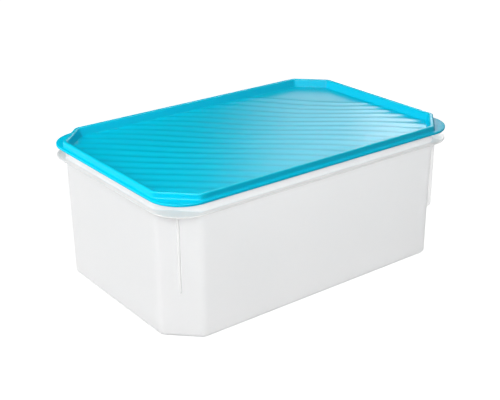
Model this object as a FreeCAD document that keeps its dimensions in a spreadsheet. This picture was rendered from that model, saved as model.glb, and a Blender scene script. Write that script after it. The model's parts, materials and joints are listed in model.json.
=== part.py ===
"""Rectangular food storage container with cut corners: a tub and its press-on lid.

Frame: +Z up, X along the long side, Y along the short side, origin at the middle of the base.
Lengths are in millimetres and angles in degrees.
"""
import FreeCAD, Part
import Sketcher
import math
import os

SIZES = {
    # tub
    "RimLength": 380.0,       # rim outline along X, also the lid's lip
    "RimWidth": 248.0,        # rim outline along Y
    "RimCorner": 36.5,        # corner radius of the rim outline
    "RimThickness": 2.0,
    "RimDrop": 17.3,          # from the brim down to the top of the rim
    "RimReach": 5.1,          # how far the rim stands out from the wall at the brim
    "TubHeight": 152.7,
    "TubWall": 1.9,
    "CornerCut": 31.5,        # leg of each cut corner at the brim
    "CornerRound": 11.0,      # rounding of the upright edges
    "BaseRound": 5.0,         # rounding between walls and floor
    "Draft": 0.33,            # lean of the walls
    # stops on the cut corners
    "StopBottom": 50.0,       # height of a stop's lower end
    "StopProud": 4.3,
    "StopThickness": 2.2,
    # lid
    "LidWall": 1.3,
    "BrimGap": 0.2,           # clearance between the tub's wall and the lid's channel
    "CrownHeight": 7.4,       # from the underside of the lip to the top of the crown
    "CrownRound": 1.2,
    "RecessDepth": 9.0,       # from the top of the crown down to the panel
    "RecessSlope": 19.0,      # lean of the inner wall
    "LidCornerRound": 5.0,
    # wavy ridges on the panel
    "WavePitch": 15.96,
    "WaveAngle": 43.2,
    "WaveLength": 221.8,
    "WaveSwing": 3.26,
    "WaveGrowth": 1.9,        # more swing for each 100 mm towards the plain corner
    "WaveLead": 68.2,
    "WaveSkew": 0.79,
    "WaveBend": 0.375,        # slow change of pitch across the panel
    "WaveStart": 0.07,        # share of a pitch from the middle to the first crest
    "RidgeWidth": 8.0,        # at the ridge's foot
    "RidgeCrest": 2.8,        # flat top of the ridge
    "RidgeHeight": 0.7,
    "PlainCorner": 128.0,     # distance from the middle, square to the ridges, where they end
}

doc = FreeCAD.newDocument("FoodContainer")

sheet = doc.addObject("Spreadsheet::Sheet", "Sizes")
for row, (alias, value) in enumerate(SIZES.items(), start=1):
    sheet.set(f"A{row}", alias)
    sheet.set(f"B{row}", str(value))
    sheet.setAlias(f"B{row}", alias)
doc.recompute()


def size(alias):
    """Value of one cell of the sheet."""
    return float(sheet.get(alias))


def value(expression):
    """Number that an expression over the sheet gives."""
    return float(sheet.evalExpression(expression))


def plane(body, role):
    """One of the body's own origin planes."""
    return next(f for f in body.Origin.OriginFeatures if f.Role == role)


def new_sketch(body, name, height):
    """Sketch parallel to the base, at a height given as an expression."""
    sketch = body.newObject("Sketcher::SketchObject", name)
    sketch.AttachmentSupport = [(plane(body, "XY_Plane"), "")]
    sketch.MapMode = "FlatFace"
    sketch.setExpression("AttachmentOffset.Base.z", height)
    return sketch


def draw_outline(sketch, corners):
    """Closed outline through corners, each an (x, y) pair of expressions."""
    first = len(sketch.Geometry)
    points = [FreeCAD.Vector(value(x), value(y), 0) for x, y in corners]
    for start, end in zip(points, points[1:] + points[:1]):
        sketch.addGeometry(Part.LineSegment(start, end), False)
    for k, (x, y) in enumerate(corners):
        line = first + k
        before = first + (k - 1) % len(corners)
        sketch.addConstraint(Sketcher.Constraint("Coincident", before, 2, line, 1))
        for kind, text in (("DistanceX", x), ("DistanceY", y)):
            index = sketch.addConstraint(Sketcher.Constraint(kind, -1, 1, line, 1, value(text)))
            sketch.setExpression(f"Constraints[{index}]", text)


def cut_corner_outline(inset):
    """Corners of the tub's brim outline moved in by inset, with its corner cuts kept parallel."""
    half_x = f"(Sizes.RimLength / 2 - Sizes.RimReach - ({inset}))"
    half_y = f"(Sizes.RimWidth / 2 - Sizes.RimReach - ({inset}))"
    cut = f"(Sizes.CornerCut - ({inset}) * (2 - sqrt(2)))"
    return [
        (f"{half_x}", f"-{half_y} + {cut}"),
        (f"{half_x}", f"{half_y} - {cut}"),
        (f"{half_x} - {cut}", f"{half_y}"),
        (f"-{half_x} + {cut}", f"{half_y}"),
        (f"-{half_x}", f"{half_y} - {cut}"),
        (f"-{half_x}", f"-{half_y} + {cut}"),
        (f"-{half_x} + {cut}", f"-{half_y}"),
        (f"{half_x} - {cut}", f"-{half_y}"),
    ]


def rim_outline():
    """Corners of the plain rectangle that the rim and the lip share."""
    half_x = "Sizes.RimLength / 2"
    half_y = "Sizes.RimWidth / 2"
    return [
        (f"-{half_x}", f"-{half_y}"),
        (f"{half_x}", f"-{half_y}"),
        (f"{half_x}", f"{half_y}"),
        (f"-{half_x}", f"{half_y}"),
    ]


def prism(body, kind, name, outlines, height, length, taper="0", down=False):
    """Pad or Pocket of outlines from a height over a length, with an optional lean."""
    sketch = new_sketch(body, name + "Plan", height)
    for corners in outlines:
        draw_outline(sketch, corners)
    feature = body.newObject("PartDesign::" + kind, name)
    feature.Profile = sketch
    feature.Reversed = down
    feature.setExpression("Length", length)
    feature.setExpression("TaperAngle", taper)
    doc.recompute()
    return feature


def edges_where(feature, test):
    """Names of the feature's edges that pass a test."""
    return [f"Edge{k}" for k, edge in enumerate(feature.Shape.Edges, start=1) if test(edge)]


def is_upright(edge):
    """Whether an edge climbs more than it travels sideways."""
    if len(edge.Vertexes) != 2:
        return False
    run = edge.Vertexes[1].Point - edge.Vertexes[0].Point
    return abs(run.z) > math.hypot(run.x, run.y)


def is_level_at(edge, height):
    """Whether the whole edge lies at one height."""
    return abs(edge.BoundBox.ZMin - height) < 1e-4 and abs(edge.BoundBox.ZMax - height) < 1e-4


def round_edges(body, name, feature, edges, radius):
    """Fillet on the named edges with a radius given as an expression."""
    fillet = body.newObject("PartDesign::Fillet", name)
    fillet.Base = (feature, edges)
    fillet.setExpression("Radius", radius)
    doc.recompute()
    return fillet


# ---- tub -------------------------------------------------------------------------------------
tub = doc.addObject("PartDesign::Body", "Tub")
tub.Label = "tub"
tub.Placement = FreeCAD.Placement()

base_inset = "Sizes.TubHeight * tan(Sizes.Draft)"
block = prism(tub, "Pad", "TubBlock", [cut_corner_outline(base_inset)], "0", "Sizes.TubHeight", "Sizes.Draft")
block = round_edges(tub, "TubUprights", block, edges_where(block, is_upright), "Sizes.CornerRound")
foot = edges_where(block, lambda edge: is_level_at(edge, 0))
block = round_edges(tub, "TubFoot", block, foot, "Sizes.BaseRound")

cavity = prism(
    tub,
    "Pocket",
    "Cavity",
    [cut_corner_outline("Sizes.TubWall")],
    "Sizes.TubHeight",
    "Sizes.TubHeight - Sizes.TubWall",
    "-Sizes.Draft",
)


def is_inside(edge):
    """Whether an edge lies within the brim's inner outline, clear of the outer faces."""
    reach_x = size("RimLength") / 2 - size("RimReach") - size("TubWall") / 2
    reach_y = size("RimWidth") / 2 - size("RimReach") - size("TubWall") / 2
    brim_sum = reach_x + reach_y - size("CornerCut") + size("TubWall") / 4
    middle = edge.CenterOfMass
    return abs(middle.x) < reach_x and abs(middle.y) < reach_y and abs(middle.x) + abs(middle.y) < brim_sum


def is_inner_upright(edge):
    """Whether an edge is an upright corner of the cavity."""
    return is_upright(edge) and edge.BoundBox.ZMin > size("TubWall") - 1e-3 and is_inside(edge)


inner = edges_where(cavity, is_inner_upright)
cavity = round_edges(tub, "CavityUprights", cavity, inner, "Sizes.CornerRound - Sizes.TubWall")
floor_edges = edges_where(cavity, lambda edge: is_level_at(edge, size("TubWall")))
round_edges(tub, "CavityFoot", cavity, floor_edges, "Sizes.BaseRound - Sizes.TubWall")

rim_low = "Sizes.TubHeight - Sizes.RimDrop - Sizes.RimThickness"
rim_seat = "Sizes.TubWall / 2 + Sizes.RimDrop * tan(Sizes.Draft)"
rim = prism(tub, "Pad", "Rim", [rim_outline(), cut_corner_outline(rim_seat)], rim_low, "Sizes.RimThickness")


def is_outline_corner(edge):
    """Whether an edge is an upright corner of the plain rim rectangle."""
    reach = max(abs(edge.BoundBox.XMin), abs(edge.BoundBox.XMax))
    return is_upright(edge) and reach > size("RimLength") / 2 - 1e-3


rim = round_edges(tub, "RimCorners", rim, edges_where(rim, is_outline_corner), "Sizes.RimCorner")


def stop_outline(side_x, side_y):
    """Plan of one stop, square to the middle of a cut corner and rooted in the wall."""
    middle_x = f"{side_x} * (Sizes.RimLength / 2 - Sizes.RimReach - Sizes.CornerCut / 2)"
    middle_y = f"{side_y} * (Sizes.RimWidth / 2 - Sizes.RimReach - Sizes.CornerCut / 2)"
    root = "(-Sizes.TubWall * 0.75 / sqrt(2))"
    tip = "(Sizes.StopProud / sqrt(2))"
    half = "(Sizes.StopThickness / 2 / sqrt(2))"
    return [
        (f"{middle_x} + {side_x} * ({along} + {side} * {half})",
         f"{middle_y} + {side_y} * ({along} - {side} * {half})")
        for along, side in ((root, -1), (tip, -1), (tip, 1), (root, 1))
    ]


stops = prism(
    tub,
    "Pad",
    "Stops",
    [stop_outline(side_x, side_y) for side_x in (-1, 1) for side_y in (-1, 1)],
    "Sizes.StopBottom",
    rim_low + " + Sizes.RimThickness / 2 - Sizes.StopBottom",
)


def is_stop_tip(edge):
    """Whether an edge is the lower outer end of a stop."""
    if not is_level_at(edge, size("StopBottom")) or abs(edge.Length - size("StopThickness")) > 1e-3:
        return False
    middle = edge.CenterOfMass
    brim_sum = (size("RimLength") + size("RimWidth")) / 2 - 2 * size("RimReach") - size("CornerCut")
    return abs(middle.x) + abs(middle.y) > brim_sum


round_edges(tub, "StopTips", stops, edges_where(stops, is_stop_tip), "Sizes.StopProud * 0.9")

# ---- lid -------------------------------------------------------------------------------------
lid_body = doc.addObject("PartDesign::Body", "LidBody")
lid_body.Label = "lid_shell"

ceiling = "Sizes.TubHeight"
top = "(Sizes.TubHeight + Sizes.LidWall)"
lip_low = f"({top} - Sizes.CrownHeight)"
outer_inset = "-(Sizes.BrimGap + Sizes.LidWall)"
groove_inset = "-Sizes.BrimGap"
bowl_inset = "(Sizes.TubWall + Sizes.BrimGap)"
lean = "Sizes.RecessSlope"
recess_inset = f"({bowl_inset} + Sizes.LidWall * (1 / cos({lean}) - tan({lean})))"
panel_depth = "Sizes.RecessDepth"

crown = prism(lid_body, "Pad", "Crown", [cut_corner_outline(outer_inset)], lip_low, "Sizes.CrownHeight")
crown = round_edges(lid_body, "CrownUprights", crown, edges_where(crown, is_upright), "Sizes.LidCornerRound")
crown_top = edges_where(crown, lambda edge: is_level_at(edge, value(top)))
crown = round_edges(lid_body, "CrownEdge", crown, crown_top, "Sizes.CrownRound")

lip = prism(lid_body, "Pad", "Lip", [rim_outline()], lip_low, "Sizes.LidWall")
round_edges(lid_body, "LipCorners", lip, edges_where(lip, is_outline_corner), "Sizes.RimCorner")

prism(
    lid_body,
    "Pocket",
    "Groove",
    [cut_corner_outline(groove_inset)],
    lip_low,
    "Sizes.CrownHeight - Sizes.LidWall",
    down=True,
)
bowl = prism(
    lid_body,
    "Pad",
    "Bowl",
    [cut_corner_outline(bowl_inset)],
    ceiling,
    panel_depth,
    f"-{lean}",
    down=True,
)
recess = prism(
    lid_body,
    "Pocket",
    "Recess",
    [cut_corner_outline(recess_inset)],
    top,
    panel_depth,
    f"-{lean}",
)
doc.recompute()


def crest_point(order, along):
    """Point of one ridge's crest: across + swing * sin(along) is kept at a whole pitch.

    The swing grows with the distance across, so that distance is found in a few rounds.
    """
    rounds = 30
    angle = math.radians(size("WaveAngle"))
    target = (order - size("WaveStart")) * size("WavePitch")
    across = target
    for _ in range(rounds):
        swing = size("WaveSwing") + size("WaveGrowth") * across / 100
        turn = 2 * math.pi * (along + size("WaveLead") - size("WaveSkew") * across) / size("WaveLength")
        across = target - swing * math.sin(turn) - size("WaveBend") * (across / 100) ** 2
    x = across * math.sin(angle) + along * math.cos(angle)
    y = across * math.cos(angle) - along * math.sin(angle)
    return FreeCAD.Vector(x, y, value(f"{top} - {panel_depth}"))


def ridge(order):
    """One wavy ridge: a low bevelled section carried along the crest and sunk into the panel."""
    reach = (size("RimLength") + size("RimWidth")) / 2
    stations = 33
    points = [crest_point(order, reach * (2 * k / (stations - 1) - 1)) for k in range(stations)]
    curve = Part.BSplineCurve()
    curve.interpolate(points)
    spine = Part.Wire([curve.toShape()])
    start = points[0]
    ahead = curve.tangent(curve.FirstParameter)[0]
    across = FreeCAD.Vector(-ahead.y, ahead.x, 0).normalize()
    rise = FreeCAD.Vector(0, 0, 1)
    root = size("LidWall") / 2
    foot = size("RidgeWidth") / 2
    crest = size("RidgeCrest") / 2
    section = [
        start + across * offset + rise * height
        for offset, height in (
            (-foot, -root),
            (-foot, 0),
            (-crest, size("RidgeHeight")),
            (crest, size("RidgeHeight")),
            (foot, 0),
            (foot, -root),
        )
    ]
    profile = Part.makePolygon(section + section[:1])
    shell = Part.BRepOffsetAPI.MakePipeShell(spine)
    shell.setBiNormalMode(rise)
    shell.add(profile)
    shell.build()
    shell.makeSolid()
    return shell.shape()


def panel_prism(inset, low, high):
    """Upright block over the panel's outline moved in by inset."""
    corners = [FreeCAD.Vector(value(x), value(y), low) for x, y in cut_corner_outline(inset)]
    face = Part.Face(Part.makePolygon(corners + corners[:1]))
    return face.extrude(FreeCAD.Vector(0, 0, high - low))


panel_top = value(f"{top} - {panel_depth}")
wall_middle = f"({recess_inset} + {panel_depth} * tan({lean}) - Sizes.LidWall / 2)"
limit = panel_prism(wall_middle, panel_top - size("LidWall"), panel_top + size("RidgeHeight") * 2)
half_span = value("Sizes.RimLength / 2 * sin(Sizes.WaveAngle) + Sizes.RimWidth / 2 * cos(Sizes.WaveAngle)")
first = math.ceil(-half_span / size("WavePitch"))
last = math.floor(size("PlainCorner") / size("WavePitch") + size("WaveStart"))
smallest_piece = 50           # mm3, so that a sliver left in a corner is dropped
pieces = []
for order in range(first, last + 1):
    pieces += [solid for solid in ridge(order).common(limit).Solids if solid.Volume > smallest_piece]

waves = doc.addObject("Part::Feature", "Waves")
waves.Label = "waves"
waves.Shape = Part.makeCompound(pieces)
waves.Placement = FreeCAD.Placement()

lid = doc.addObject("Part::MultiFuse", "Lid")
lid.Label = "lid"
lid.Shapes = [lid_body, waves]
lid.Refine = True
lid.Placement = FreeCAD.Placement()
doc.recompute()

# ---- checks and files ------------------------------------------------------------------------
for item in doc.Objects:
    if "Invalid" in item.State or "Error" in item.State:
        raise RuntimeError(f"{item.Name} failed: {item.State}")

os.makedirs("parts", exist_ok=True)
for part in (tub, lid):
    shape = part.Shape
    if shape.isNull() or not shape.isValid() or len(shape.Solids) != 1:
        raise RuntimeError(f"{part.Label} is not one sound solid")
    shape.exportStep(f"parts/{part.Label}.step")
    print(part.Label, round(shape.Volume / 1000, 1), "cm3", shape.BoundBox)
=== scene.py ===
import json
import math
import bpy
import numpy as np
from mathutils import Matrix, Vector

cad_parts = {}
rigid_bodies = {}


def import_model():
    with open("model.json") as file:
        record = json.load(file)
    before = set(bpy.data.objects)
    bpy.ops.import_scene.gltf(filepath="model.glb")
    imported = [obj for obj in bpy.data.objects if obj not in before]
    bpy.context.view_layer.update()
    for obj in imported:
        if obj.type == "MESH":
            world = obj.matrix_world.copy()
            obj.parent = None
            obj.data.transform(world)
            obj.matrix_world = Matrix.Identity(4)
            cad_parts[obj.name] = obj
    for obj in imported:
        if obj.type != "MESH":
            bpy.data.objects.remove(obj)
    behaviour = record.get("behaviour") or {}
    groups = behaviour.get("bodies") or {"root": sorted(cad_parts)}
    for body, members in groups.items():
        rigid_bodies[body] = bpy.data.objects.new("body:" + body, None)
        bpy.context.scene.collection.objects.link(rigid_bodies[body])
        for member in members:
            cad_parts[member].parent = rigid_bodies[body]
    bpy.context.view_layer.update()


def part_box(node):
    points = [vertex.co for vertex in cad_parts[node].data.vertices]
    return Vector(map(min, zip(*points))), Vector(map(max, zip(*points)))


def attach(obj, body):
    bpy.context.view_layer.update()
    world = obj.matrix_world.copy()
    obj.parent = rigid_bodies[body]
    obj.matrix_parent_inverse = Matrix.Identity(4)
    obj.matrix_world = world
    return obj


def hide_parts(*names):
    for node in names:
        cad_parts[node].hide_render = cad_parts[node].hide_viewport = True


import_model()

tubHigh = np.array(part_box("tub")[1])
lidHigh = np.array(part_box("lid")[1])

# the tub and the lid's border follow rectangles with cut or round corners, and all their
# rows have the same columns of points
plan = dict(
    sideColumns=72,     # points along each straight long side
    endColumns=46,      # points along each straight short side
    arcColumns=7,       # points round each small corner
    cutColumns=12,      # points along each cut corner
    creaseAngle=32,     # edges sharper than this stay sharp, degrees
)

cutShrink = 2 - math.sqrt(2)    # how much shorter a 45 degree cut gets, per metre of inset


def planColumns():
    # sixteen stretches, a straight one and an arc by turns. For every column: the corner
    # points before and after it, its share of the way between them, and the angle that the
    # corner's radius has turned to. The cut outline turns 45 degrees in each arc, and the
    # round one 30 in each of the three stretches of a corner
    corner = [plan["arcColumns"], plan["cutColumns"], plan["arcColumns"]]
    counts = ([plan["endColumns"]] + corner + [plan["sideColumns"]] + corner) * 2
    stretch = np.repeat(np.arange(len(counts)), counts)
    share = np.concatenate([np.arange(n) / n for n in counts])
    before = (stretch + 1) // 2 % 8
    after = (stretch + 2) // 2 % 8
    cutAngle = 45 * (stretch // 2) * (1 - share) + 45 * ((stretch + 1) // 2) * share
    quarter, step = 90 * (stretch // 4), stretch % 4
    roundAngle = (quarter + 30 * np.maximum(step - 1, 0)) * (1 - share) + (quarter + 30 * step) * share
    return before, after, share, np.radians(cutAngle), np.radians(roundAngle)


def planLoops(halfX, halfY, cut, curve, isRound):
    # each row is the corner points of a smaller outline, shared along each side, plus a
    # radius turned by the column's angle
    before, after, share, cutAngle, roundAngle = planColumns()
    halfX, halfY, cut, curve, isRound = np.broadcast_arrays(
        *[np.asarray(v, float).reshape(-1, 1) for v in (halfX, halfY, cut, curve, isRound)])
    x, y = halfX - curve, halfY - curve
    cut = np.where(isRound, 0, cut - curve * cutShrink)
    cornerX = np.concatenate([x, x, x - cut, cut - x, -x, -x, cut - x, x - cut], axis=1)
    cornerY = np.concatenate([cut - y, y - cut, y, y, y - cut, cut - y, -y, -y], axis=1)
    angle = cutAngle * (1 - isRound) + roundAngle * isRound
    loopX = cornerX[:, before] * (1 - share) + cornerX[:, after] * share + curve * np.cos(angle)
    loopY = cornerY[:, before] * (1 - share) + cornerY[:, after] * share + curve * np.sin(angle)
    return loopX, loopY


def gridPoints(x, y, z):
    # the grids of x, y and z as one list of points; z may be one height for each row, or for all
    return np.stack([x, y, np.broadcast_to(z, x.shape)], -1).reshape(-1, 3)


def gridFaces(rows, columns, closeRows=False, closeColumns=True):
    # quads between neighbouring rows and columns, wrapping where asked
    row, col = np.meshgrid(np.arange(rows if closeRows else rows - 1),
                           np.arange(columns if closeColumns else columns - 1), indexing="ij")
    nextRow, nextCol = (row + 1) % rows, (col + 1) % columns
    corners = ((row, col), (row, nextCol), (nextRow, nextCol), (nextRow, col))
    return np.stack([a * columns + b for a, b in corners], -1).reshape(-1, 4)


def endCaps(rows, columns):
    # the first row's loop turned over, and the last row's as it is
    loop = list(range(columns))
    return loop[::-1], [(rows - 1) * columns + k for k in loop]


def arc(fromDeg, toDeg, count):
    # cosine and sine of so many evenly spaced angles, in pairs
    angle = np.radians(np.linspace(fromDeg, toDeg, count))
    return zip(np.cos(angle), np.sin(angle))


def addPiece(name, points, quads, node, material, caps=()):
    # a closed mesh at the origin that stands for its node and rides on the one body
    mesh = bpy.data.meshes.new(name)
    faces = [tuple(q) for q in quads.tolist()] + [tuple(c) for c in caps]
    mesh.from_pydata(points.tolist(), [], faces)
    mesh.update()
    mesh.polygons.foreach_set("use_smooth", np.ones(len(mesh.polygons), bool))
    mesh.set_sharp_from_angle(angle=math.radians(plan["creaseAngle"]))
    mesh.materials.append(material)
    piece = bpy.data.objects.new(name, mesh)
    bpy.context.scene.collection.objects.link(piece)
    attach(piece, "root")
    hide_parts(node)
    print("piece", name, len(points), "points")
    return piece


class Wire:
    # one socket of a material or world, with sums written as plain expressions
    def __init__(self, tree, socket=None):
        self.tree, self.socket = tree, socket

    def into(self, item, key):
        # feeds a socket of another node
        self.tree.links.new(self.socket, item.inputs[key])

    def node(self, kind, settings=None, inputs=None, output=0):
        item = self.tree.nodes.new(kind)
        for key, value in (settings or {}).items():
            if key == "stops":
                setStops(item.color_ramp, value)
            else:
                setattr(item, key, value)
        for key, value in (inputs or {}).items():
            if isinstance(value, Wire):
                value.into(item, key)
            else:
                item.inputs[key].default_value = value
        return Wire(self.tree, item.outputs[output])

    def maths(self, operation, *values):
        return self.node("ShaderNodeMath", {"operation": operation}, dict(enumerate(values)))

    def clamped(self):
        return self.maths("MINIMUM", self.maths("MAXIMUM", self, 0.0), 1.0)

    def between(self, low, high):
        # a colour: low where this share is 0, high where it is 1
        return self.node("ShaderNodeMix", {"data_type": "RGBA"}, {0: self, 6: low, 7: high}, 2)

    def split(self):
        # the three numbers of a place
        first = self.node("ShaderNodeSeparateXYZ", None, {0: self})
        return [Wire(self.tree, socket) for socket in first.socket.node.outputs]

    def __add__(self, other):
        return self.maths("ADD", self, other)

    def __radd__(self, other):
        return self.maths("ADD", other, self)

    def __sub__(self, other):
        return self.maths("SUBTRACT", self, other)

    def __rsub__(self, other):
        return self.maths("SUBTRACT", other, self)

    def __mul__(self, other):
        return self.maths("MULTIPLY", self, other)

    def __rmul__(self, other):
        return self.maths("MULTIPLY", other, self)


def setStops(ramp, stops):
    # places along a ramp, in rising order, and the colours there
    while len(ramp.elements) < len(stops):
        ramp.elements.new(1.0)
    for element, (place, colour) in zip(ramp.elements, stops):
        element.position, element.color = place, colour


def newMaterial(name, values):
    # a plain shader with these values on its sockets
    material = bpy.data.materials.new(name)
    material.use_nodes = True
    shader = material.node_tree.nodes["Principled BSDF"]
    for key, value in values.items():
        shader.inputs[key].default_value = value
    return material, shader, Wire(material.node_tree)


def noise(place, scale, detail=1.0, distortion=0.0):
    # scale is in marks per metre
    values = {"Vector": place, "Scale": scale, "Detail": detail, "Distortion": distortion}
    return place.node("ShaderNodeTexNoise", None, values)


def mouldedSurface(shader, place, marks, finish):
    # slow marks in the plastic swing its roughness, and the mould's fine grain its normal
    rough = finish["roughness"] + (marks - 0.5) * finish["roughSwing"]
    rough.into(shader, "Roughness")
    grain = noise(place, finish["grain"])
    bump = place.node("ShaderNodeBump", None, {
        "Height": grain, "Strength": finish["grainStrength"], "Distance": finish["grainDepth"]})
    bump.into(shader, "Normal")


def linear(r, g, b):
    # the shader's own values of a colour given in steps of 255
    def light(v):
        return v / 12.92 if v <= 0.04045 else ((v + 0.055) / 1.055) ** 2.4
    return (light(r / 255), light(g / 255), light(b / 255), 1.0)


tub = dict(
    reach=0.0051,           # rim beyond the wall at the brim
    wall=0.0019,
    cut=0.0315,             # corner cut, along each side
    uprightCurve=0.011,
    footCurve=0.005,
    draft=0.33,             # degrees
    rimDrop=0.0173,         # top of the rim below the brim
    rimThickness=0.002,
    rimCorner=0.0365,
    rimRounding=0.95,       # rounding of the rim's edge, 1 is a full half circle
    rimFillet=0.0012,       # small hollows above and below the rim
    brimCurve=0.0007,
)

tubFinish = dict(
    colour=linear(245, 244, 244),
    cloudier=linear(241, 241, 241),
    rimPaintedLight=linear(255, 244, 240),    # painted light: upper face of the rim, lighter and warmer against the lid's shade and blue bounce
    edgePaintedShade=linear(226, 224, 223),   # painted shade: its outer edge, greyer to dim the lamps' bright line there
    refraction=1.49,
    roughness=0.38,
    roughSwing=0.12,
    gloss=0.35,         # strength of the mirror part, 0.5 is plain plastic
    soft=1.0,           # share of light that spreads inside the plastic
    spread=0.002,       # and how far, metres
    through=0.3,        # share of light that comes through the wall
    throughColour=(0.97, 0.97, 0.97, 1),
    clouds=14.0,        # slow unevenness of the plastic, per metre
    grain=900.0,        # fine moulded grain, per metre
    grainStrength=0.04,
    grainDepth=0.0004,
    rimFrom=0.0004,     # the rim's painted light starts this far out of the wall, metres
    rimBlend=900.0,     # and comes in this fast, per metre
    upperBlend=1500.0,  # from the rim's middle up, per metre
    edgeWidth=0.0013,
    edgeBlend=1400.0,
)


def paintedLightShares(place):
    # two shares from 0 to 1: where painted light goes on the rim's upper face, and where painted shade
    # goes on its outer edge. Upper face: distance out of the wall's plan, times height over the rim's
    # middle. Edge: distance past a line just inside the rim's outline, a rectangle with round corners
    x, y, z = place.split()
    x, y = [v.maths("ABSOLUTE", v) for v in (x, y)]
    halfX, halfY = tubHigh[0] - tub["reach"], tubHigh[1] - tub["reach"]
    out = x.maths("MAXIMUM", x - halfX, y - halfY)
    out = x.maths("MAXIMUM", out, (x + y - (halfX + halfY - tub["cut"])) * math.sqrt(0.5))
    over = z - (tubHigh[2] - tub["rimDrop"] - tub["rimThickness"] / 2)
    upper = ((out - tubFinish["rimFrom"]) * tubFinish["rimBlend"]).clamped()
    upper = upper * (over * tubFinish["upperBlend"]).clamped()
    corner = tub["rimCorner"]
    x, y = [v.maths("MAXIMUM", v - (high - corner), 0.0) for v, high in ((x, tubHigh[0]), (y, tubHigh[1]))]
    edge = x.maths("SQRT", x * x + y * y) - (corner - tubFinish["edgeWidth"])
    return upper, (edge * tubFinish["edgeBlend"]).clamped()


def makeTubPlastic(name, mainColour, gloss, soft, through):
    # cloudy pale plastic with painted light on the rim's upper face and painted shade on its edge, which
    # lets a share of light through
    material, shader, start = newMaterial(name, {
        "IOR": tubFinish["refraction"], "Specular IOR Level": gloss, "Subsurface Weight": soft,
        "Subsurface Radius": (1.0, 1.0, 1.0), "Subsurface Scale": tubFinish["spread"]})
    place = start.node("ShaderNodeTexCoord", output="Object")
    clouds = noise(place, tubFinish["clouds"], detail=2.0)
    upper, edge = paintedLightShares(place)
    colour = clouds.between(mainColour, tubFinish["cloudier"])
    # painted light on the rim's upper face, then painted shade on its outer edge
    colour = upper.between(colour, tubFinish["rimPaintedLight"])
    edge.between(colour, tubFinish["edgePaintedShade"]).into(shader, "Base Color")
    mouldedSurface(shader, place, clouds, tubFinish)
    tree = material.node_tree
    passed = start.node("ShaderNodeBsdfTranslucent", None, {"Color": tubFinish["throughColour"]})
    body = Wire(tree, shader.outputs[0])
    blend = start.node("ShaderNodeMixShader", None, {0: through, 1: body, 2: passed})
    blend.into(tree.nodes["Material Output"], "Surface")
    return material


def tubRows():
    # one closed section read from the middle of the base, out and up the wall, round the
    # rim, up to the brim and down inside to the floor: inset from the brim's outline, height,
    # rounding of the uprights, and whether the row follows the rim's round-corner outline
    high = tubHigh[2]
    lean = math.tan(math.radians(tub["draft"]))
    upright, foot, fillet, brim, wall = [
        tub[key] for key in ("uprightCurve", "footCurve", "rimFillet", "brimCurve", "wall")]

    def inset(z):
        return (high - z) * lean

    rows = []
    for c, s in arc(-90, 0, 8):
        z = foot + foot * s
        rows.append((inset(z) + foot - foot * c, z, upright, 0))
    rimTop = high - tub["rimDrop"]
    rimLow = rimTop - tub["rimThickness"]
    for z in np.linspace(foot, rimLow - fillet, 12)[1:]:
        rows.append((inset(z), z, upright, 0))
    for c, s in arc(0, 90, 4):      # small hollow under the rim
        rows.append((inset(rimLow) - fillet * (1 - c), rimLow - fillet + fillet * s, upright, 0))
    edge = tub["rimThickness"] / 2 * tub["rimRounding"]
    middle = (rimTop + rimLow) / 2
    for c, s in arc(-90, 90, 9):    # the rim's edge
        z = middle + s * tub["rimThickness"] / 2
        rows.append((edge - edge * c, z, tub["rimCorner"] - edge + edge * c, 1))
    for c, s in arc(-90, 0, 4):     # small hollow above the rim
        rows.append((inset(rimTop) - fillet * (1 - c), rimTop + fillet + fillet * s, upright, 0))
    for z in np.linspace(rimTop + fillet, high - brim, 4)[1:-1]:
        rows.append((inset(z), z, upright, 0))
    for c, s in arc(0, 90, 5):      # over the brim
        rows.append((brim - brim * c, high - brim + brim * s, upright, 0))
    for c, s in arc(90, 180, 5):
        rows.append((wall - brim - brim * c, high - brim + brim * s, upright - wall, 0))
    innerFoot = foot - wall
    for z in np.linspace(high - brim, wall + innerFoot, 10)[1:-1]:
        rows.append((inset(z) + wall, z, upright - wall, 0))
    for c, s in arc(0, -90, 6):
        z = wall + innerFoot + innerFoot * s
        rows.append((inset(z) + wall + innerFoot - innerFoot * c, z, upright - wall, 0))
    return np.array(rows)


def makeTub():
    # the section carried round the plan, with the base and the floor as flat caps
    inset, z, curve, isRound = tubRows().T
    halfX = np.where(isRound, tubHigh[0] - inset, tubHigh[0] - tub["reach"] - inset)
    halfY = np.where(isRound, tubHigh[1] - inset, tubHigh[1] - tub["reach"] - inset)
    x, y = planLoops(halfX, halfY, tub["cut"] - inset * cutShrink, curve, isRound)
    plastic = makeTubPlastic(
        "tubPlastic", tubFinish["colour"], tubFinish["gloss"], tubFinish["soft"], tubFinish["through"])
    addPiece("tubShell", gridPoints(x, y, z[:, None]), gridFaces(*x.shape), "tub",
             plastic, caps=endCaps(*x.shape))


stop = dict(
    bottom=0.050,       # height of the lower end
    proud=0.0043,       # how far it stands out of the cut corner
    thickness=0.0022,
    rooted=0.0012,      # how far it goes into the wall
    tuck=0.0008,        # and into the rim
    tipCurve=0.0039,
    # painted shade: darker than the tub's plastic, to tone down how bright the thin stops render
    colour=linear(214, 214, 214),
    tipRows=9,          # rows of points round the lower end
    shaftRows=8,        # and from there up
    edgeColumns=9,      # points round the outer edge
)


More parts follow.
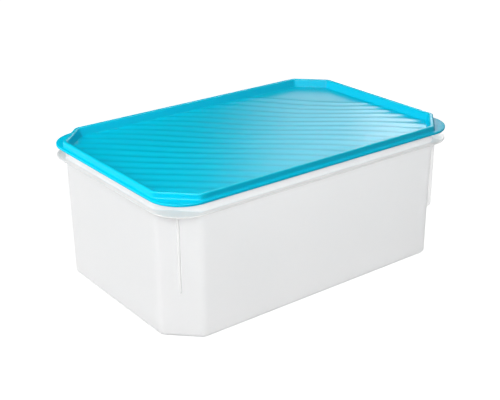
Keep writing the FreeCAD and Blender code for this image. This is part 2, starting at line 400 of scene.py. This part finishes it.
def makeStop(name, sideX, sideY, plastic):
    # a round-edged section standing square out of the cut corner, carried down the corner,
    # its depth dying away along a quarter circle at the lower end
    rimLow = tubHigh[2] - tub["rimDrop"] - tub["rimThickness"]
    tip = np.radians(np.linspace(0, 90, stop["tipRows"]))
    curve = stop["tipCurve"]
    shaft = np.linspace(stop["bottom"] + curve, rimLow + stop["tuck"], stop["shaftRows"])[1:]
    z = np.concatenate([stop["bottom"] + curve * (1 - np.cos(tip)), shaft])
    depth = stop["proud"] - curve + curve * np.concatenate([np.sin(tip), np.ones(len(shaft))])
    half = stop["thickness"] / 2
    turn = np.radians(np.linspace(-90, 90, stop["edgeColumns"]))
    across = np.concatenate([[-half], half * np.sin(turn), [half]])
    bulge = np.concatenate([[0], np.cos(turn) * half - half, [0]])
    isRoot = np.concatenate([[1], np.zeros(len(turn)), [1]])
    out = np.where(isRoot, -stop["rooted"], depth[:, None] + bulge)
    middleX = tubHigh[0] - tub["reach"] - tub["cut"] / 2
    middleY = tubHigh[1] - tub["reach"] - tub["cut"] / 2
    x = sideX * (middleX + (out - across * sideX * sideY) / math.sqrt(2))
    y = sideY * (middleY + (out + across * sideX * sideY) / math.sqrt(2))
    piece = addPiece(name, gridPoints(x, y, z[:, None]), gridFaces(*x.shape), "tub",
                     plastic, caps=endCaps(*x.shape))
    piece.visible_shadow = piece.visible_diffuse = False    # so thin, it shades next to nothing


def makeStops():
    # the tub's plastic made darker as painted shade, with no gloss, no spread inside and no light through
    plastic = makeTubPlastic("stopPaintedShadePlastic", stop["colour"], gloss=0.0, soft=0.0, through=0.0)
    for sideY, depthName in ((-1, "Front"), (1, "Back")):
        for sideX, sideName in ((-1, "Left"), (1, "Right")):
            makeStop("stop" + depthName + sideName, sideX, sideY, plastic)


makeTub()
makeStops()
print("tub made")

lidFinish = dict(
    colour=linear(0, 196, 226),
    deeper=linear(0, 190, 221),
    refraction=1.46,
    roughness=0.22,
    roughSwing=0.08,
    gloss=0.10,         # strength of the mirror part, 0.5 is plain plastic
    soft=0.5,           # share of light that spreads inside the plastic
    spread=0.004,       # and how far, metres
    spreadShares=(0.1, 0.8, 1.0),       # of which red, green and blue go this much
    swirl=22.0,         # slow flow marks in the plastic, per metre
    grain=700.0,        # fine moulded grain, per metre
    grainStrength=0.03,
    grainDepth=0.0003,
)


def makeLidPlastic():
    # coloured plastic with slow flow marks
    material, shader, start = newMaterial("lidPlastic", {
        "IOR": lidFinish["refraction"], "Specular IOR Level": lidFinish["gloss"],
        "Subsurface Weight": lidFinish["soft"], "Subsurface Radius": lidFinish["spreadShares"],
        "Subsurface Scale": lidFinish["spread"]})
    place = start.node("ShaderNodeTexCoord", output="Object")
    flow = noise(place, lidFinish["swirl"], detail=3.0, distortion=0.6)
    flow.between(lidFinish["colour"], lidFinish["deeper"]).into(shader, "Base Color")
    mouldedSurface(shader, place, flow, lidFinish)
    return material


lid = dict(
    wall=0.0013,
    gap=0.0002,             # clearance round the brim
    crownHeight=0.0074,
    crownCurve=0.0016,      # outer edge of the crown
    crownInner=0.0028,      # and its inner edge
    footCurve=0.0016,       # hollow where the crown stands on the lip
    panelFoot=0.0012,       # hollow where the recess meets the panel
    recessDepth=0.009,
    recessSlope=19.0,       # degrees off upright
    panelLap=0.0012,        # how far the border goes on under the panel
    panelLapDrop=0.0003,
    panelTuck=0.0005,       # how far the panel goes into the recess's wall
    uprightCurve=0.0085,
    curveLoss=0.6,          # how fast the uprights' rounding shrinks going inwards
    leastCurve=0.0015,
    lipCorner=0.0365,
    beadWidth=0.0016,       # the lip's edge, turned down a little
    beadDrop=0.0013,
)


def recessInset():
    # inset from the brim's outline of the recess's sloped wall, carried up to the crown's top
    slope = math.radians(lid["recessSlope"])
    return tub["wall"] + lid["gap"] + lid["wall"] * (1 / math.cos(slope) - math.tan(slope))


def lidRingRows():
    # one closed section of the lid's border: lip, outer wall, crown, sloped inner wall and its
    # foot on the panel, then back underneath through the channel that holds the brim. Each
    # row is its inset, height, and whether it follows the lip's round-corner outline
    top, wall, slope = lidHigh[2], lid["wall"], math.radians(lid["recessSlope"])
    lean = math.tan(slope)
    lipLow, panelTop = top - lid["crownHeight"], top - lid["recessDepth"]
    outer = -(lid["gap"] + wall)
    bowl = tub["wall"] + lid["gap"]
    front = recessInset()
    small, r, foot = wall / 2, lid["crownCurve"], lid["footCurve"]
    bead, drop = lid["beadWidth"], lid["beadDrop"]
    rows = [(-lid["gap"], lipLow, 0), (bead, lipLow, 1), (bead, lipLow - drop, 1)]
    for c, s in arc(-90, 0, 5):             # the lip's edge
        rows.append((small - small * c, lipLow - drop + small + small * s, 1))
    for c, s in arc(0, 90, 5):
        rows.append((small - small * c, lipLow + wall - small + small * s, 1))
    for c, s in arc(-90, 0, 7):             # hollow where the outer wall stands on the lip
        rows.append((outer - foot * (1 - c), lipLow + wall + foot + foot * s, 0))
    for c, s in arc(0, 90, 8):              # the crown's outer edge
        rows.append((outer + r - r * c, top - r + r * s, 0))
    r = lid["crownInner"]
    reach = r * math.tan(math.radians(45) - slope / 2)
    for c, s in arc(90, lid["recessSlope"], 8):     # the crown's inner edge
        rows.append((front - reach + r * c, top - r + r * s, 0))
    low = lid["panelFoot"]
    wallEnd = lid["recessDepth"] - low * (1 - math.sin(slope))
    for depth in np.linspace(r, wallEnd, 4)[1:-1]:
        rows.append((front + depth * lean, top - depth, 0))
    footX = front + wallEnd * lean + low * math.cos(slope)
    for c, s in arc(180 + lid["recessSlope"], 270, 5):      # hollow onto the panel
        rows.append((footX + low * c, panelTop + low + low * s, 0))
    rows += [
        (footX + lid["panelLap"], panelTop - lid["panelLapDrop"], 0),
        (footX + lid["panelLap"], panelTop - wall, 0),
        (bowl + (lid["recessDepth"] - wall) * lean, panelTop - wall, 0),
        (bowl, top - wall, 0),
        (-lid["gap"], top - wall, 0),
    ]
    return np.array(rows)


def makeLidRing(plastic):
    # the closed section carried round the plan
    inset, z, isRound = lidRingRows().T
    spare = np.where(isRound, 0, tub["reach"])
    halfX, halfY = lidHigh[0] - spare - inset, lidHigh[1] - spare - inset
    shrunk = lid["uprightCurve"] - lid["curveLoss"] * (inset + lid["gap"] + lid["wall"])
    curve = np.where(isRound, lid["lipCorner"] - inset, np.maximum(shrunk, lid["leastCurve"]))
    x, y = planLoops(halfX, halfY, tub["cut"] - inset * cutShrink, curve, isRound)
    quads = gridFaces(*x.shape, closeRows=True)
    addPiece("lidBorder", gridPoints(x, y, z[:, None]), quads, "lid", plastic)


waves = dict(
    pitch=0.01596,
    angle=43.2,         # degrees between the ridges' course and the long side
    length=0.2218,      # of one swing along a ridge
    swing=0.00326,
    growth=0.019,       # more swing per metre towards the plain corner
    lead=0.0682,        # shift of the swing along the ridges
    skew=0.79,          # and how much it shifts from ridge to ridge, per metre across
    bend=0.0375,        # slow change of pitch, per metre
    start=0.07,         # shift of all the ridges, in pitches
    height=0.0007,
    sharpness=1.3,      # 1 is a plain cosine
    plainCorner=0.128,  # the last ridge lies about this far from the middle
    across=260,         # points of the sheet along the long side
    along=180,          # and along the short side
)


def waveHeight(x, y):
    # distance across the ridges plus a sine along them, in pitches; the height is a raised
    # cosine of that count, and nothing past the last ridge
    a = math.radians(waves["angle"])
    v = x * math.sin(a) + y * math.cos(a)
    s = x * math.cos(a) - y * math.sin(a)
    swing = waves["swing"] + waves["growth"] * v
    turn = 2 * math.pi * (s + waves["lead"] - waves["skew"] * v) / waves["length"]
    count = (v + swing * np.sin(turn) + waves["bend"] * v * v) / waves["pitch"] + waves["start"]
    last = math.floor(waves["plainCorner"] / waves["pitch"] + waves["start"])
    crest = (0.5 + 0.5 * np.cos(2 * math.pi * count)) ** waves["sharpness"]
    return np.where(count < last + 0.5, waves["height"] * crest, 0)


def makeLidPanel(plastic):
    # a sheet over the recess: x runs evenly, y fills the height that the cut corners leave,
    # and the ridges lift it
    floor = lidHigh[2] - lid["recessDepth"]
    lean = math.tan(math.radians(lid["recessSlope"]))
    inset = recessInset() + lid["recessDepth"] * lean - lid["panelTuck"]
    halfX, halfY = tubHigh[0] - tub["reach"] - inset, tubHigh[1] - tub["reach"] - inset
    cut = tub["cut"] - inset * cutShrink
    shape = waves["across"], waves["along"]
    u, v = np.meshgrid(*[np.linspace(-1, 1, n) for n in shape], indexing="ij")
    x = u * halfX
    y = v * np.minimum(halfY, halfX + halfY - cut - np.abs(x))
    upper = gridPoints(x, y, floor + waveHeight(x, y))
    lower = gridPoints(x, y, floor - lid["wall"])
    ids = np.arange(len(upper)).reshape(shape)
    rim = np.concatenate([ids[:-1, 0], ids[-1, :-1], ids[::-1, -1][:-1], ids[0, ::-1][:-1]])
    nextRim = np.roll(rim, -1)
    side = np.stack([rim, rim + len(upper), nextRim + len(upper), nextRim], -1)
    sheet = gridFaces(*shape, closeColumns=False)
    quads = np.concatenate([sheet[:, ::-1], side[:, ::-1]])
    under = (rim[::-1] + len(upper)).tolist()
    addPiece("lidPanel", np.concatenate([upper, lower]), quads, "lid", plastic, caps=(under,))


lidPlastic = makeLidPlastic()
makeLidRing(lidPlastic)
makeLidPanel(lidPlastic)
print("lid made")

studio = dict(
    floorSize=6.0,
    floorShade=0.6,
    floorRoughness=0.9,
    floorLift=0.05,     # light of its own in the floor
    floorSeen=0.85,     # and what the camera sees of it, so that it stays white
    level=0.38,         # plain light from all round
)


def seenBy(wire, *rays):
    # 1 on rays of these kinds, 0 on all others
    seen, *others = [wire.node("ShaderNodeLightPath", output=ray) for ray in rays]
    for other in others:
        seen = seen.maths("MAXIMUM", seen, other)
    return seen


def makeFloor():
    size = studio["floorSize"]
    mesh = bpy.data.meshes.new("floor")
    corners = [(-size, -size, 0), (size, -size, 0), (size, size, 0), (-size, size, 0)]
    mesh.from_pydata(corners, [], [(0, 1, 2, 3)])
    material, shader, start = newMaterial("paleFloor", {
        "Base Color": (studio["floorShade"],) * 3 + (1,), "Roughness": studio["floorRoughness"],
        "Specular IOR Level": 0.0, "Emission Color": (1, 1, 1, 1)})
    seen = seenBy(start, "Is Camera Ray", "Is Glossy Ray")
    lift = studio["floorLift"] + seen * (studio["floorSeen"] - studio["floorLift"])
    lift.into(shader, "Emission Strength")
    mesh.materials.append(material)
    floor = bpy.data.objects.new("floor", mesh)
    bpy.context.scene.collection.objects.link(floor)


def makeWorld():
    # white to the camera, to gloss and through glass; plain level light to everything else
    world = bpy.data.worlds.new("studio")
    bpy.context.scene.world = world
    world.use_nodes = True
    back = world.node_tree.nodes["Background"]
    back.inputs["Color"].default_value = (1, 1, 1, 1)
    seen = seenBy(Wire(world.node_tree), "Is Camera Ray", "Is Glossy Ray", "Is Transmission Ray")
    strength = studio["level"] + seen * (1 - studio["level"])
    strength.into(back, "Strength")


def aimed(place, target):
    # the three directions of something that stands at place and looks at target
    back = np.array(place, float) - np.array(target, float)
    back /= np.linalg.norm(back)
    right = np.cross((0, 0, 1), back)
    right /= np.linalg.norm(right)
    return right, np.cross(back, right), back


def placeAt(item, place, right, up, back):
    item.matrix_world = Matrix([
        (right[0], up[0], back[0], place[0]),
        (right[1], up[1], back[1], place[1]),
        (right[2], up[2], back[2], place[2]),
        (0, 0, 0, 1)])


# soft square lamps, each for the pale tub or the coloured lid alone; the lid doesn't shade
# the tub from keyTub
lampAim = (0, 0, 0.08)
lamps = dict(
    keyLid=dict(power=14.2, size=1.1, place=(-0.88, -0.2, 0.68), lights="lidOnly"),
    keyTub=dict(power=19.3, size=1.2, place=(-1.3, 0.8, 0.6), lights="tubOnly", shadedBy="tubOnly"),
    fillTub=dict(power=23.0, size=1.2, place=(-0.7, -1.4, 0.6), lights="tubOnly"),
    backTub=dict(power=17.0, size=1.2, place=(1.25, 0.95, 0.6), lights="tubOnly"),
)


def makeLamps():
    groups = {}
    for name, starts in (("tubOnly", ("tubShell", "stop")), ("lidOnly", ("lidBorder", "lidPanel"))):
        groups[name] = bpy.data.collections.new(name)
        for piece in bpy.data.objects:
            if piece.name.startswith(starts):
                groups[name].objects.link(piece)
    for name, values in lamps.items():
        data = bpy.data.lights.new(name, "AREA")
        data.shape = "SQUARE"
        data.size = values["size"]
        data.energy = values["power"]
        lamp = bpy.data.objects.new(name, data)
        bpy.context.scene.collection.objects.link(lamp)
        placeAt(lamp, values["place"], *aimed(values["place"], lampAim))
        lamp.light_linking.receiver_collection = groups[values["lights"]]
        if "shadedBy" in values:
            lamp.light_linking.blocker_collection = groups[values["shadedBy"]]


cards = dict(
    cardBack=dict(
        place=(0.95, 1.25, 1.8),
        width=4.4,
        height=3.6,
        glow=17.6,
        tint=(1.0, 0.93, 0.94, 1),
        # place along the card from left to right, and brightness there
        spread=((0.475, 0.0), (0.495, 0.1), (0.512, 0.22), (0.529, 0.33), (0.546, 0.36),
                (0.563, 0.33), (0.58, 0.72), (0.60, 0.9), (0.616, 0.6), (0.65, 0.1)),
        # the same from the foot up
        rise=((0.0, 0.05), (0.11, 0.18), (0.2, 0.46), (0.37, 0.95), (0.5, 1.0)),
    ),
    cardTop=dict(place=(-0.35, -0.1, 1.4), width=0.9, height=0.9, glow=14.0),
)


def addCard(name, place, width, height, glow, spread=None, rise=None, tint=(1, 1, 1, 1)):
    # a card that only gloss sees. With a spread it stands upright and faces the object, its
    # brightness given from left to right as seen from there; without one it lies level
    if spread:
        right, up = aimed(place, (0, 0, place[2]))[:2]
    else:
        right, up = np.array((1, 0, 0)), np.array((0, 1, 0))
    across, along = -right * width / 2, up * height / 2
    corners = [np.array(place) + across * a + along * b for a, b in ((-1, -1), (1, -1), (1, 1), (-1, 1))]
    mesh = bpy.data.meshes.new(name)
    mesh.from_pydata([tuple(c) for c in corners], [], [(0, 1, 2, 3)])
    layer = mesh.uv_layers.new(name="spread")
    layer.data.foreach_set("uv", [0, 0, 1, 0, 1, 1, 0, 1])
    material, shader, start = newMaterial(name, {})
    tree = material.node_tree
    tree.nodes.remove(shader)
    bright = glow
    if spread:
        spot = start.node("ShaderNodeUVMap").split()
        for share, levels in zip(spot, (spread, rise)):
            stops = [(at, (level,) * 3 + (1,)) for at, level in levels]
            bright = start.node("ShaderNodeValToRGB", {"stops": stops}, {0: share}) * bright
    light = start.node("ShaderNodeEmission", None, {"Color": tint, "Strength": bright})
    light.into(tree.nodes["Material Output"], "Surface")
    mesh.materials.append(material)
    card = bpy.data.objects.new(name, mesh)
    bpy.context.scene.collection.objects.link(card)
    card.visible_camera = card.visible_diffuse = card.visible_shadow = False
    card.visible_transmission = card.visible_volume_scatter = False


view = dict(
    azimuth=-37.27,     # degrees
    elevation=23.06,
    roll=-0.44,
    distance=1.1031,
    aimHeight=0.06745,
    aimRight=-0.0054,
    lens=70.7904,       # millimetres
    sensor=36,
)


def makeCamera():
    a, e, r = [math.radians(view[key]) for key in ("azimuth", "elevation", "roll")]
    back = np.array([math.sin(a) * math.cos(e), -math.cos(a) * math.cos(e), math.sin(e)])
    right = np.array([math.cos(a), math.sin(a), 0])
    up = np.cross(back, right)
    place = np.array([0, 0, view["aimHeight"]]) + right * view["aimRight"] + back * view["distance"]
    right, up = math.cos(r) * right + math.sin(r) * up, math.cos(r) * up - math.sin(r) * right
    data = bpy.data.cameras.new("camera")
    data.sensor_fit = "HORIZONTAL"
    data.sensor_width = view["sensor"]
    data.lens = view["lens"]
    camera = bpy.data.objects.new("camera", data)
    bpy.context.scene.collection.objects.link(camera)
    placeAt(camera, place, right, up, back)
    bpy.context.scene.camera = camera


makeFloor()
makeWorld()
makeLamps()
for cardName, values in cards.items():
    addCard(cardName, **values)
makeCamera()
bpy.context.scene.view_settings.view_transform = "Standard"
print("stage made")
